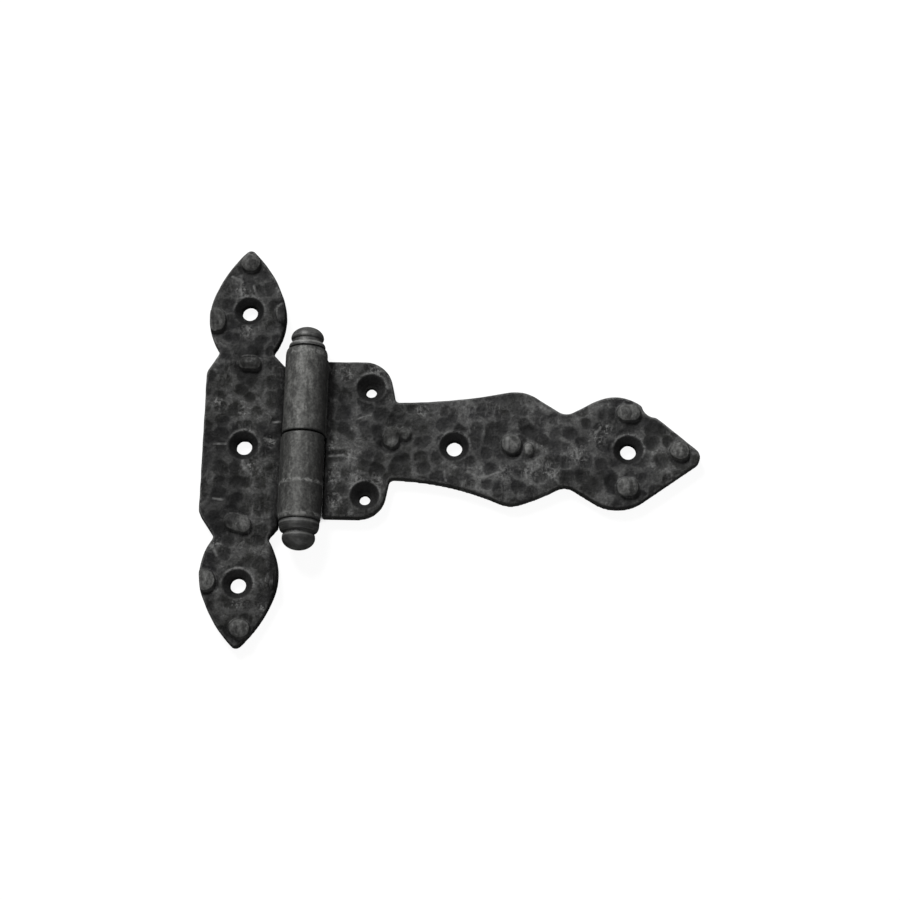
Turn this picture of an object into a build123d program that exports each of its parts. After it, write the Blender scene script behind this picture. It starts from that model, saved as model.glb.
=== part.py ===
from build123d import *
import math
import os

# Driving dimensions in millimetres.
# The origin is the frame leaf's middle screw hole on the back face. X runs along the strap,
# Y along the hinge pin and Z out of the front, so the hinge lies flat on its back.

# Both plates
plate_thickness = 4.8
edge_bevel = 0.6
leaf_gap = 0.3  # from a plate's inner edge to the other leaf's knuckle, seen from the front

# Screw holes
screw_hole_dia = 5.0
countersink_dia = 9.4
countersink_angle = 90
frame_hole_pitch = 45.2
frame_hole_drift = 0.4  # the cast row leans this far sideways at its end holes
arm_hole_setback = 21.5  # from the upper crest back to the first hole
arm_hole_pitch = 55.0
arm_hole_y = 0.9
wing_hole_dia = 3.4
wing_sink_dia = 9.2
wing_sink_shift = 0.9  # the cast seats sit above their holes
wing_hole_x = 39.4
wing_hole_y = 1.2
wing_hole_pitch = 35.6
wing_hole_drift = 0.4

# Barrel and pin
axis_x = 19.0
barrel_mid_y = 3.0
barrel_dia = 13.4
knuckle_length = 28.5  # from the middle of the barrel to a knuckle's outer end
knuckle_gap = 0.3
knuckle_nose = 2.0  # length of the rounded outer end
upper_nose_drop = 0.6
lower_nose_drop = 0.2
knuckle_chamfer = 0.25
knuckle_blend = 2.5  # hollow between a knuckle and its plate
web_lap = 0.2  # the root's section ends this far inside the knuckle and the plate
web_stop = 1.3  # a root ends this far short of the pin's axis
pin_dia = 7.0
running_clearance = 0.05

# Turned finials on the pin's ends
finial_play = 0.3  # between the upper finial and the knuckle that turns under it
upper_collar_dia = 11.9
upper_collar_length = 1.8
lower_collar_dia = 13.0
lower_collar_length = 3.2
collar_taper = 0.6  # a collar's radius is this much less at its outer edge
groove_dia = 9.6
upper_groove_length = 1.2
lower_groove_length = 1.0
cap_dia = 10.5
upper_cap_rim = 0.5
lower_cap_rim = 1.0
cap_height = 3.7
cap_bevel = 0.25
spigot_dia = 4.4
spigot_length = 3.4
socket_depth = 3.7

# Frame leaf, measured from its own middle in Y
leaf_mid_y = 0.55
frame_edge_x = 13.15
upper_shoulder_reach = 23.8
lower_shoulder_reach = 22.8
upper_inner_reach = 26.1
lower_inner_reach = 26.9
neck_reach = 30.6
belly_reach = 42.65
spear_tip_reach = 66.3
spear_half_width = 12.35
spear_side_radius = 20.0
ogive_start = 6.5  # past the belly, where the spear's side straightens
upper_spear_x = -0.8
lower_spear_x = 0.5  # the cast leaf isn't quite even from end to end
shoulder_round = 4.0
inner_shoulder_round = 1.4
neck_round = 1.8
spear_tip_round = 1.8

# Strap leaf: its wings, measured from the barrel's middle in Y
wing_reach = 25.7
wing_corner_x = 45.2
wing_foot_x = 44.2
wing_top_round = 9.0
wing_bottom_round = 8.5

# Strap leaf: the waves of its arm, each one a run on from the last
arm_root_top_x = 47.8
arm_root_top = 15.3
arm_root_bottom_x = 46.6
arm_root_bottom = 9.6
arm_corner_round = 1.5
crest_run = 40.5
crest_top = 20.5
crest_top_round = 12.0
crest_skew = 4.0  # the lower crest stands this much nearer to the barrel
crest_bottom = 17.9
crest_bottom_round = 9.0
waist_run = 13.7
waist_top = 11.8
waist_bottom = 10.3
waist_round = 5.0
head_run = 17.0
head_top_reach = 21.4
head_bottom_reach = 20.8
head_round = 14.0
tip_run = 27.3
arm_tip_y = -0.85
arm_tip_round = 3.0
arm_top_sag = 1.1
arm_bottom_sag = 2.1
crest_bottom_sag = 0.7
dent_run = 11.2  # from the head's widest place to the dent in its upper side
dent_depth = 1.1  # how far the dent bites into that side
dent_radius = 4.2
dent_round = 1.5

# Stations along the arm
crest_top_x = arm_root_top_x + crest_run
crest_bottom_x = crest_top_x - crest_skew
waist_x = crest_top_x + waist_run
head_x = waist_x + head_run
arm_tip_x = head_x + tip_run
near_hole_x = crest_top_x - arm_hole_setback
dent_x = head_x + dent_run
side_fall = (head_top_reach - arm_tip_y) / tip_run
dent_side_y = head_top_reach - side_fall * dent_run
dent_y = dent_side_y + (dent_radius - dent_depth) * math.hypot(1, side_fall)

# Raised nail heads, each with the x and y of its middle, its length, its breadth and its turn
# in degrees. They are cast, so no two are alike.
nail_height = 1.5
nail_bevel = 0.6
nail_margin = 0.2  # a nail head stops this far inside the plate's side
frame_nails = (
    (-0.8, 61.7, 6.2, 5.8, 0),
    (-11.2, 41.9, 7.6, 6.4, 90),
    (11.2, 44.2, 7.4, 5.6, -65),
    (0.6, 27.4, 7.2, 3.8, 0),
    (-0.4, -25.6, 8.2, 5.0, -15),
    (-10.3, -44.3, 7.2, 6.6, 0),
    (12.5, -43.8, 6.2, 5.8, 90),
    (1.7, -59.5, 6.4, 5.8, 0),
)
arm_nails = (
    (arm_root_top_x - 0.9, 3.5, 6.6, 4.8, 80),
    (crest_top_x - 3.4, 2.1, 6.2, 6.0, 0),
    (head_x + 2.8, 13.1, 7.3, 5.2, 0),
    (head_x + 2.7, -11.4, 6.8, 6.0, 0),
    (arm_tip_x - 8.4, 0.8, 6.1, 5.3, -15),
)

# Small lumps beside two of the arm's nail heads
lump_height = 0.9
lump_bevel = 0.35
arm_lumps = (
    (arm_root_top_x + 3.4, 4.8, 4.0, 3.2, 90),
    (crest_top_x + 2.0, 0.4, 4.2, 2.8, 90),
)

# Worked out from the sizes above
barrel_radius = barrel_dia / 2
pin_radius = pin_dia / 2
axis_z = barrel_radius
frame_inner_x = axis_x - barrel_radius - leaf_gap
strap_inner_x = axis_x + barrel_radius + leaf_gap
knuckle_straight = knuckle_length - knuckle_nose
barrel_length = 2 * knuckle_length
wing_top = barrel_mid_y + wing_reach
wing_bottom = barrel_mid_y - wing_reach
bevel_plane = Plane.XY.offset(plate_thickness - edge_bevel)
barrel_axis = Axis((axis_x, barrel_mid_y, axis_z), (0, 1, 0))
# On this plane a profile runs along the barrel from its middle, and upwards from its axis
barrel_plane = Plane(barrel_axis.position, x_dir=(0, 1, 0), z_dir=(1, 0, 0))


def spear_outline(end, centre_x):
    """Ogive end of the frame leaf, from neck to neck; end is 1 at the top and -1 at the bottom."""
    belly_y = leaf_mid_y + end * belly_reach
    arc_x = centre_x - spear_half_width + spear_side_radius

    def side_point(rise):
        return (arc_x - math.sqrt(spear_side_radius**2 - rise**2), belly_y + end * rise)

    neck = side_point(neck_reach - belly_reach)
    belly = side_point(0)
    shoulder = side_point(ogive_start)
    tip = (centre_x, leaf_mid_y + end * spear_tip_reach)
    side = ThreePointArc(neck, belly, shoulder)
    ogive = TangentArc(shoulder, tip, tangent=side % 1)
    mirror([side, ogive], about=Plane((centre_x, 0, 0), z_dir=(1, 0, 0)))
    return neck, (2 * centre_x - neck[0], neck[1]), tip


def web_section(side):
    """Section of the root that joins a plate to its knuckle, with a hollow blend on top."""
    floor = -axis_z
    top = plate_thickness - axis_z
    reach = barrel_radius + knuckle_blend
    blend_x = math.sqrt(reach**2 - (top + knuckle_blend) ** 2)
    blend_centre = Vector(side * blend_x, top + knuckle_blend)
    outwards = blend_centre.normalized()
    upper = outwards * (barrel_radius - web_lap)
    middle = blend_centre + (Vector(0, -1) - outwards).normalized() * knuckle_blend
    lower = Vector(side * blend_x, top - web_lap)
    Polyline(upper, (side * web_stop, upper.Y), (side * web_stop, floor), (side * blend_x, floor), lower)
    ThreePointArc(lower, middle, upper)


def round_corners(outline, corners):
    """Round each named corner of an outline by its own radius."""
    for corner, radius in corners:
        fillet(outline.vertices().sort_by_distance(corner)[0], radius)


def nail_outlines(nails):
    """Outline of each nail head or lump in a list."""
    for x, y, length, breadth, turn in nails:
        with Locations((x, y)):
            SlotOverall(length, breadth, rotation=turn)


def web_plane(y):
    """Cross section of the barrel at a height y."""
    return Plane((axis_x, y, axis_z), x_dir=(1, 0, 0), z_dir=(0, -1, 0))


def knuckle_profile(end, nose_drop):
    """Half section of one knuckle, solid to the axis; end is 1 for the upper one."""
    near = end * knuckle_gap / 2
    far = end * knuckle_length
    rim = (far, barrel_radius - nose_drop)
    nose = (end * knuckle_straight, barrel_radius)
    lip = (near + end * knuckle_chamfer, barrel_radius)
    Polyline(rim, (far, 0), (near, 0), (near, barrel_radius - knuckle_chamfer), lip, nose)
    TangentArc(nose, rim, tangent=(end, 0))


def finial_profile(end, seat, collar_dia, collar_length, groove_length, cap_rim):
    """Half section of a turned finial whose collar sits at a distance seat from the barrel's middle."""
    collar_end = seat + collar_length
    rim_start = collar_end + groove_length
    rim_end = rim_start + cap_rim
    apex = rim_end + cap_height
    cap_radius = cap_dia / 2
    dome_radius = (cap_radius**2 + cap_height**2) / (2 * cap_height)
    mid_angle = math.asin(cap_radius / dome_radius) / 2
    dome_middle = (end * (apex - dome_radius * (1 - math.cos(mid_angle))), dome_radius * math.sin(mid_angle))
    Polyline(
        (end * apex, 0),
        (end * (seat + socket_depth), 0),
        (end * (seat + socket_depth), spigot_dia / 2),
        (end * seat, spigot_dia / 2),
        (end * seat, collar_dia / 2),
        (end * collar_end, collar_dia / 2 - collar_taper),
        (end * collar_end, groove_dia / 2),
        (end * rim_start, groove_dia / 2),
        (end * rim_start, cap_radius - cap_bevel),
        (end * (rim_start + cap_bevel), cap_radius),
        (end * rim_end, cap_radius),
    )
    ThreePointArc((end * rim_end, cap_radius), dome_middle, (end * apex, 0))


# Outline of the frame leaf's plate
with BuildSketch() as frame_outline:
    with BuildLine():
        upper_left, upper_right, upper_tip = spear_outline(1, upper_spear_x)
        lower_left, lower_right, lower_tip = spear_outline(-1, lower_spear_x)
        upper_shoulder = (-frame_edge_x, leaf_mid_y + upper_shoulder_reach)
        lower_shoulder = (-frame_edge_x, leaf_mid_y - lower_shoulder_reach)
        upper_inner = (frame_inner_x, leaf_mid_y + upper_inner_reach)
        lower_inner = (frame_inner_x, leaf_mid_y - lower_inner_reach)
        Polyline(upper_left, upper_shoulder, lower_shoulder, lower_left)
        Polyline(upper_right, upper_inner, lower_inner, lower_right)
    make_face()
    frame_corners = (
        (upper_left, neck_round),
        (upper_right, neck_round),
        (lower_left, neck_round),
        (lower_right, neck_round),
        (upper_tip, spear_tip_round),
        (lower_tip, spear_tip_round),
        (upper_shoulder, shoulder_round),
        (lower_shoulder, shoulder_round),
        (upper_inner, inner_shoulder_round),
        (lower_inner, inner_shoulder_round),
    )
    round_corners(frame_outline, frame_corners)

# Nail heads of the frame leaf, cut off just inside the plate's side
with BuildPart() as frame_nail_heads:
    with BuildSketch(bevel_plane):
        nail_outlines(frame_nails)
    extrude(amount=edge_bevel + nail_height)
    chamfer(frame_nail_heads.faces().group_by(Axis.Z)[-1].edges(), nail_bevel)
    with BuildSketch(bevel_plane):
        add(offset(frame_outline.sketch, amount=-nail_margin, mode=Mode.PRIVATE))
    extrude(amount=edge_bevel + nail_height, mode=Mode.INTERSECT)

# Frame leaf: a plate with two spear ends, and the lower knuckle
with BuildPart() as frame_leaf:
    add(frame_outline.sketch)
    extrude(amount=plate_thickness)
    chamfer(frame_leaf.faces().sort_by(Axis.Z)[-1].outer_wire().edges(), edge_bevel)
    add(frame_nail_heads.part)
    with BuildSketch(web_plane(barrel_mid_y - knuckle_gap / 2)):
        with BuildLine():
            web_section(-1)
        make_face()
    extrude(amount=knuckle_straight - knuckle_gap / 2)
    with BuildSketch(barrel_plane):
        with BuildLine():
            knuckle_profile(-1, lower_nose_drop)
        make_face()
    revolve(axis=barrel_axis)
    for step in (1, 0, -1):
        with Locations((-step * frame_hole_drift, step * frame_hole_pitch, plate_thickness)):
            CounterSinkHole(screw_hole_dia / 2, countersink_dia / 2, plate_thickness, countersink_angle)
    with Locations(web_plane(barrel_mid_y)):
        Cylinder(pin_radius, 2 * barrel_length, mode=Mode.SUBTRACT)

# Strap leaf: the upper knuckle, two wings and the waved arm
with BuildPart() as strap_leaf:
    with BuildSketch() as strap_outline:
        with BuildLine():
            top_root = (arm_root_top_x, arm_root_top)
            bottom_root = (arm_root_bottom_x, -arm_root_bottom)
            wing_corner = (wing_corner_x, wing_top)
            wing_foot = (wing_foot_x, wing_bottom)
            top_crest = (crest_top_x, crest_top)
            bottom_crest = (crest_bottom_x, -crest_bottom)
            top_waist = (waist_x, waist_top)
            bottom_waist = (waist_x, -waist_bottom)
            head_top = (head_x, head_top_reach)
            head_bottom = (head_x, -head_bottom_reach)
            arm_tip = (arm_tip_x, arm_tip_y)
            inner_foot = (strap_inner_x, wing_bottom)
            inner_corner = (strap_inner_x, wing_top)
            Polyline(bottom_root, wing_foot, inner_foot, inner_corner, wing_corner, top_root)
            SagittaArc(top_root, top_crest, -arm_top_sag)
            Polyline(top_crest, top_waist, head_top, arm_tip, head_bottom, bottom_waist)
            SagittaArc(bottom_waist, bottom_crest, crest_bottom_sag)
            SagittaArc(bottom_crest, bottom_root, -arm_bottom_sag)
        make_face()
        strap_corners = (
            (wing_foot, wing_bottom_round),
            (wing_corner, wing_top_round),
            (top_root, arm_corner_round),
            (bottom_root, arm_corner_round),
            (top_crest, crest_top_round),
            (bottom_crest, crest_bottom_round),
            (top_waist, waist_round),
            (bottom_waist, waist_round),
            (head_top, head_round),
            (head_bottom, head_round),
            (arm_tip, arm_tip_round),
        )
        round_corners(strap_outline, strap_corners)
        # Dent in the head's upper side
        with Locations((dent_x, dent_y)):
            Circle(dent_radius, mode=Mode.SUBTRACT)
        dent_edge = strap_outline.edges().filter_by(GeomType.CIRCLE).sort_by_distance((dent_x, dent_y))[0]
        fillet(dent_edge.vertices(), dent_round)
    extrude(amount=plate_thickness)
    chamfer(strap_leaf.faces().sort_by(Axis.Z)[-1].outer_wire().edges(), edge_bevel)
    with BuildSketch(bevel_plane):
        nail_outlines(arm_lumps)
    extrude(amount=edge_bevel + lump_height)
    chamfer(strap_leaf.faces().group_by(Axis.Z)[-1].edges(), lump_bevel)
    with BuildSketch(bevel_plane):
        nail_outlines(arm_nails)
    extrude(amount=edge_bevel + nail_height)
    chamfer(strap_leaf.faces().group_by(Axis.Z)[-1].edges(), nail_bevel)
    with BuildSketch(web_plane(wing_top - edge_bevel)):
        with BuildLine():
            web_section(1)
        make_face()
    extrude(amount=wing_top - edge_bevel - barrel_mid_y - knuckle_gap / 2)
    with BuildSketch(barrel_plane):
        with BuildLine():
            knuckle_profile(1, upper_nose_drop)
        make_face()
    revolve(axis=barrel_axis)
    for hole_x in (near_hole_x, near_hole_x + arm_hole_pitch):
        with Locations((hole_x, arm_hole_y, plate_thickness)):
            CounterSinkHole(screw_hole_dia / 2, countersink_dia / 2, plate_thickness, countersink_angle)
    sink_depth = (wing_sink_dia - wing_hole_dia) / 2
    for end in (1, -1):
        hole_x = wing_hole_x + end * wing_hole_drift
        hole_y = wing_hole_y + end * wing_hole_pitch / 2
        with Locations((hole_x, hole_y, plate_thickness)):
            Hole(wing_hole_dia / 2, depth=plate_thickness)
        with Locations((hole_x, hole_y + wing_sink_shift, plate_thickness - sink_depth / 2)):
            Cone(wing_hole_dia / 2, wing_sink_dia / 2, sink_depth, mode=Mode.SUBTRACT)
    with Locations(web_plane(barrel_mid_y)):
        Cylinder(pin_radius + running_clearance, 2 * barrel_length, mode=Mode.SUBTRACT)

# Hinge pin: fast in the lower knuckle, turning in the upper one, with a spigot at each end
with BuildPart() as hinge_pin:
    with BuildSketch(barrel_plane):
        with BuildLine():
            Polyline(
                (-knuckle_length - spigot_length, 0),
                (-knuckle_length - spigot_length, spigot_dia / 2),
                (-knuckle_length, spigot_dia / 2),
                (-knuckle_length, pin_radius),
                (knuckle_length + finial_play, pin_radius),
                (knuckle_length + finial_play, spigot_dia / 2),
                (knuckle_length + finial_play + spigot_length, spigot_dia / 2),
                (knuckle_length + finial_play + spigot_length, 0),
                close=True,
            )
        make_face()
    revolve(axis=barrel_axis)

# Upper finial, which caps the pin and keeps the strap's knuckle on it
with BuildPart() as upper_finial:
    with BuildSketch(barrel_plane):
        with BuildLine():
            upper_seat = knuckle_length + finial_play
            upper_collar = (upper_collar_dia, upper_collar_length)
            finial_profile(1, upper_seat, *upper_collar, upper_groove_length, upper_cap_rim)
        make_face()
    revolve(axis=barrel_axis)

# Lower finial, seated on the lower knuckle
with BuildPart() as lower_finial:
    with BuildSketch(barrel_plane):
        with BuildLine():
            lower_collar = (lower_collar_dia, lower_collar_length)
            finial_profile(-1, knuckle_length, *lower_collar, lower_groove_length, lower_cap_rim)
        make_face()
    revolve(axis=barrel_axis)

frame_leaf.part.label = "frame_leaf"
strap_leaf.part.label = "strap_leaf"
hinge_pin.part.label = "hinge_pin"
upper_finial.part.label = "upper_finial"
lower_finial.part.label = "lower_finial"

os.makedirs("parts", exist_ok=True)
export_step(frame_leaf.part, "parts/frame_leaf.step")
export_step(strap_leaf.part, "parts/strap_leaf.step")
export_step(hinge_pin.part, "parts/hinge_pin.step")
export_step(upper_finial.part, "parts/upper_finial.step")
export_step(lower_finial.part, "parts/lower_finial.step")
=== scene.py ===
import math

import bmesh
import bpy
import numpy as np
from mathutils import Matrix, Vector, kdtree, noise


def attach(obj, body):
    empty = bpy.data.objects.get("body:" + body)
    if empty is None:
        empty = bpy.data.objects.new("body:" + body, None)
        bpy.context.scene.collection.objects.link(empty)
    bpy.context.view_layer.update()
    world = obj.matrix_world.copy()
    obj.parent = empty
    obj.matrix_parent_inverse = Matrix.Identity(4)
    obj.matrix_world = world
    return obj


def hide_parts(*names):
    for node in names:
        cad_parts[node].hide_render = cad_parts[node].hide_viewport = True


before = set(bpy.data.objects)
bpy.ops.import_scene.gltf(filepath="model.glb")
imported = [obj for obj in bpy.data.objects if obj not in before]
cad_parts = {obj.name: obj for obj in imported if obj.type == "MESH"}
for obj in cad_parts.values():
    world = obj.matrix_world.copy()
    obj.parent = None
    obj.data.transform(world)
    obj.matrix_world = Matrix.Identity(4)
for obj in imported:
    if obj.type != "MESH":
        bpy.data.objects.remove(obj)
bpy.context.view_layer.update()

# Sizes in metres, as the solids have them
MM = 0.001
PLATE = 4.8 * MM
AXIS_X = 19.0 * MM
AXIS_Z = 6.7 * MM
BARREL_RADIUS = 6.7 * MM
BARREL_MID_Y = 3.0 * MM
KNUCKLE_LENGTH = 28.5 * MM
KNUCKLE_NOSE = 2.0 * MM

# Screw holes: x, y of each seat's middle and the seat's radius
FRAME_SEATS = (
    (-0.4 * MM, 45.2 * MM, 4.7 * MM),
    (0.0, 0.0, 4.7 * MM),
    (0.4 * MM, -45.2 * MM, 4.7 * MM),
)
STRAP_SEATS = (
    (66.8 * MM, 0.9 * MM, 4.7 * MM),
    (121.8 * MM, 0.9 * MM, 4.7 * MM),
    (39.8 * MM, 19.9 * MM, 4.6 * MM),
    (39.0 * MM, -15.7 * MM, 4.6 * MM),
)

# Deep hollows in each casting: x, y, radius and depth in millimetres
FRAME_HOLLOWS = (
    (-1.2, 24.6, 2.4, 0.35),
    (2.2, 24.4, 2.6, 0.40),
    (0.8, 21.6, 4.4, 0.20),
    (1.2, 33.6, 4.0, 0.22),
    (-8.2, 37.6, 2.6, 0.35),
    (-6.4, 46.8, 2.4, 0.22),
    (9.4, 8.6, 2.2, 0.40),
    (-9.6, 19.6, 1.6, 0.22),
    (-7.2, -23.6, 2.8, 0.28),
    (2.0, -31.5, 3.2, 0.18),
    (-8.0, -49.4, 2.6, 0.35),
    (7.6, -48.6, 2.2, 0.25),
)
STRAP_HOLLOWS = (
    (90.0, 6.8, 2.9, 0.75),
    (95.2, 3.0, 2.8, 0.42),
    (116.4, -9.3, 3.0, 0.70),
    (123.6, 8.6, 3.0, 0.40),
    (42.6, 5.8, 2.8, 0.42),
    (55.3, 2.0, 2.7, 0.45),
    (49.4, -2.9, 3.4, 0.38),
    (55.0, 8.8, 2.8, 0.28),
    (50.2, 10.4, 2.6, 0.28),
    (43.4, 1.0, 2.2, 0.35),
    (31.3, 6.2, 3.0, 0.40),
    (36.5, 8.8, 2.2, 0.25),
)

# Places rubbed brightest in each casting: x, y and radius in millimetres
FRAME_RUBBED = (
    (-3.4, 52.0, 3.2),
    (-1.0, 38.5, 3.0),
    (0.8, 28.4, 1.8),
    (9.5, 52.0, 2.5),
    (2.2, -7.2, 3.6),
    (8.6, 1.2, 2.4),
    (0.0, 11.5, 3.0),
    (-9.5, 14.0, 3.0),
    (-7.4, -32.8, 3.2),
    (1.2, -51.2, 3.0),
    (9.0, -53.0, 2.5),
)
STRAP_RUBBED = (
    (91.0, -7.0, 3.4),
    (97.2, -6.9, 3.8),
    (114.7, 8.0, 3.0),
    (111.8, 4.8, 3.6),
    (34.0, -3.0, 3.4),
    (28.6, 0.0, 2.4),
    (31.5, 25.4, 4.0),
    (41.5, 25.2, 4.2),
    (35.4, -10.3, 3.8),
    (42.6, -11.0, 3.2),
    (28.6, -9.5, 3.6),
    (29.6, -18.0, 4.0),
    (82.6, -7.4, 3.4),
    (105.5, -1.0, 4.5),
    (56.4, 12.6, 2.6),
)

# Soft swellings of each casting's face: x, y, radius and height in millimetres
FRAME_SWELLS = (
    (0.4, 29.9, 4.8, 1.15),
    (-3.2, -23.6, 3.4, 0.70),
)
STRAP_SWELLS = (
    (49.0, 5.4, 3.2, 0.75),
    (44.8, 4.4, 3.0, 0.35),
)

# Scratches in each casting: x and y of both ends, and the width, in millimetres
FRAME_SCRATCHES = (
    (-0.2, -5.2, 0.6, -7.6, 0.9),
    (0.4, -7.0, 3.2, -9.6, 0.8),
    (6.6, 2.3, 11.6, 2.0, 0.7),
    (9.0, 8.0, 11.6, 7.9, 0.6),
    (-9.4, 0.4, -5.4, 0.3, 0.5),
    (-6.6, 57.0, -3.0, 54.8, 0.8),
    (-3.4, 54.6, -3.0, 50.0, 0.7),
    (0.8, 54.0, 1.6, 51.0, 0.6),
    (-9.0, -17.6, -5.6, -18.0, 0.6),
    (-8.2, -33.0, -6.6, -36.0, 0.9),
)
STRAP_SCRATCHES = (
    (83.4, 3.9, 83.6, 0.9, 1.3),
    (71.4, -7.2, 74.6, -9.0, 0.7),
    (74.6, -9.0, 78.8, -8.6, 0.7),
    (78.8, -8.6, 82.8, -6.6, 0.8),
    (27.4, -2.8, 33.0, -2.6, 0.8),
    (31.6, -2.4, 36.0, -3.6, 0.7),
    (105.4, 1.4, 105.8, -2.0, 0.6),
    (35.2, 9.6, 40.2, 10.8, 0.5),
    (63.8, -7.2, 64.4, -10.4, 0.6),
    (111.6, 6.4, 113.2, 8.2, 0.8),
)

# Rubbed rings on the barrel: height, half width and strength
BARREL_RINGS = (
    (-13.2 * MM, 1.0 * MM, 0.9),
    (-24.0 * MM, 1.1 * MM, 0.8),
    (29.4 * MM, 1.1 * MM, 0.8),
)

# Rubbed rings on the finials, with painted highlights on the collars' rounded edges: height, half width
# and strength
FINIAL_WORN_AND_LIT_RINGS = (
    (33.0 * MM, 0.7 * MM, 0.8),
    (-26.2 * MM, 0.5 * MM, 0.5),
    (-30.2 * MM, 0.5 * MM, 0.35),
)

# How light each place is: its distance in millimetres, from the frame leaf's middle along y or along
# the strap, and the share of the full colour there
FRAME_TONES = ((20, 0.42), (32, 0.46))
STRAP_TONES = ((43, 0.52), (54, 0.70), (98, 0.68), (108, 0.60))

# Edge length of the castings' fine meshes
VOXEL = 0.36 * MM

# How far a leaf's edge is moved towards the other leaf's knuckle, so that no floor shows in the slot
SLOT_CLOSING = 0.14 * MM

# Height over the plate above which a point belongs to a nail head
HEAD_RISE = 0.45 * MM

# Ditch round each nail head, and how far the dented crescent of painted shadow below a head reaches
DITCH_MIDDLE = 0.7 * MM
DITCH_WIDTH = 0.8 * MM
CRESCENT_REACH = 1.3 * MM

# How far past the barrel's middle a point counts as beside the other leaf's knuckle
NEXT_KNUCKLE = 0.5 * MM

# Wave lengths of the three noises that make the castings uneven
BROAD = 11 * MM
MIDDLING = 4 * MM
FINE = 1.2 * MM

# Directions in plan, x and y, of the painted highlight on edges, towards the lamp: round a seat, and
# along a rim
SEAT_HIGHLIGHT_SIDE = (0.35, 0.94)
RIM_HIGHLIGHT_SIDE = (-0.5, 0.86)

# Linear greys of the finish and of the painted shade and highlights: level, and warmth above 0 for olive
# or below 0 for blue
FINISH = {
    "cool ground": (0.016, -0.06),
    "olive ground": (0.017, 0.10),
    "mottle": (0.040, 0.01),
    "blotch": (0.060, 0.01),
    "hollow": (0.0095, 0.0),
    "ridge": (0.095, 0.01),
    "peak": (0.190, 0.01),
    "rim_wear_and_highlight": (0.105, 0.01),
    "dark head": (0.044, 0.02),
    "light head": (0.140, 0.02),
    "head edge": (0.130, 0.02),
    # Painted shadow below heads, painted highlight on seat lips, painted shade in seats and in the
    # barrel's root
    "crescent_dent_and_painted_shadow": (0.009, 0.0),
    "lip_wear_and_highlight": (0.120, 0.01),
    "seat": (0.012, 0.0),
    "painted_root_shade": (0.010, 0.0),
    "fleck": (0.21, 0.01),
    "grit": (0.17, 0.01),
    "scratch": (0.16, 0.01),
    "dark barrel": (0.034, 0.03),
    "light barrel": (0.128, 0.03),
    "barrel cloud": (0.044, 0.03),
    "painted barrel highlight": (0.160, 0.03),
    "painted barrel flank shade": (0.028, 0.02),
    "barrel ring": (0.19, 0.02),
    "parting": (0.006, 0.0),
    "dark cap": (0.018, 0.03),
    "light cap": (0.070, 0.03),
    "turning line": (0.10, 0.02),
    "cap ring wear and highlight": (0.18, 0.02),
    "dark steel": (0.2, 0.0),
    "light steel": (0.34, 0.0),
}

# A distance beyond any point of the hinge
FAR = 1.0

# What the lamps aim at
LAMP_TARGET = (0.06, 0, 0)


def step(low, high, value):
    """Smooth step from 0 at low to 1 at high, for arrays."""
    share = np.clip((value - low) / (high - low), 0, 1)
    return share * share * (3 - 2 * share)


def cell_random(cell, salt):
    """A repeatable random number from 0 to 1 for each grid cell."""
    mixed = np.sin(cell[:, 0] * 127.1 + cell[:, 1] * 311.7 + salt * 74.7) * 43758.5453
    return mixed - np.floor(mixed)


def hammer_marks(places, spacing, salt):
    """Depth share of overlapping round hammer marks, from 0 on the ridges to 1 in a mark's middle."""
    grid = np.floor(places / spacing)
    deepest = np.zeros(len(places))
    for across in (-1, 0, 1):
        for along in (-1, 0, 1):
            cell = grid + (across, along)
            shift = np.stack([cell_random(cell, salt), cell_random(cell, salt + 1)], 1)
            centre = (cell + 0.14 + 0.72 * shift) * spacing
            radius = spacing * (0.42 + 0.24 * cell_random(cell, salt + 2))
            strength = 0.45 + 0.55 * cell_random(cell, salt + 3)
            gap = np.linalg.norm(places - centre, axis=1)
            deepest = np.maximum(deepest, strength * (1 - (gap / radius) ** 2))
    return deepest


def soft_noise(points, size, salt):
    """Smooth noise of about -1 to 1 whose waves are about size metres long."""
    shift = Vector((salt * 3.7, salt * 1.9, salt * 5.3))
    return np.array([noise.noise(Vector(p) / size + shift) for p in points])


def spots(places, centres):
    """Share from 0 to 1 of lying in one of the soft round spots, given in millimetres."""
    share = np.zeros(len(places))
    for x, y, radius in centres:
        gap = np.hypot(places[:, 0] - x * MM, places[:, 1] - y * MM) / (1.25 * radius * MM)
        share = np.maximum(share, np.clip(1 - gap**2, 0, 1) ** 2)
    return share


def strokes(places, lines):
    """Share from 0 to 1 of lying on one of the scratches, given in millimetres."""
    share = np.zeros(len(places))
    for x0, y0, x1, y1, width in lines:
        start = np.array((x0, y0)) * MM
        run = np.array((x1 - x0, y1 - y0)) * MM
        along = np.clip((places - start) @ run / (run @ run), 0, 1)
        gap = np.linalg.norm(places - start - along[:, None] * run, axis=1)
        share = np.maximum(share, 1 - step(0.2 * width * MM, 0.75 * width * MM, gap))
    return share


def plan_gap(places, chosen):
    """Distance in plan from each place to the nearest chosen one."""
    tree = kdtree.KDTree(len(chosen))
    for index, (x, y) in enumerate(chosen):
        tree.insert((x, y, 0), index)
    tree.balance()
    return np.array([tree.find((x, y, 0))[2] for x, y in places])


def new_object(name, data):
    """Object that holds the data, linked to the scene."""
    made = bpy.data.objects.new(name, data)
    bpy.context.scene.collection.objects.link(made)
    return made


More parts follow.
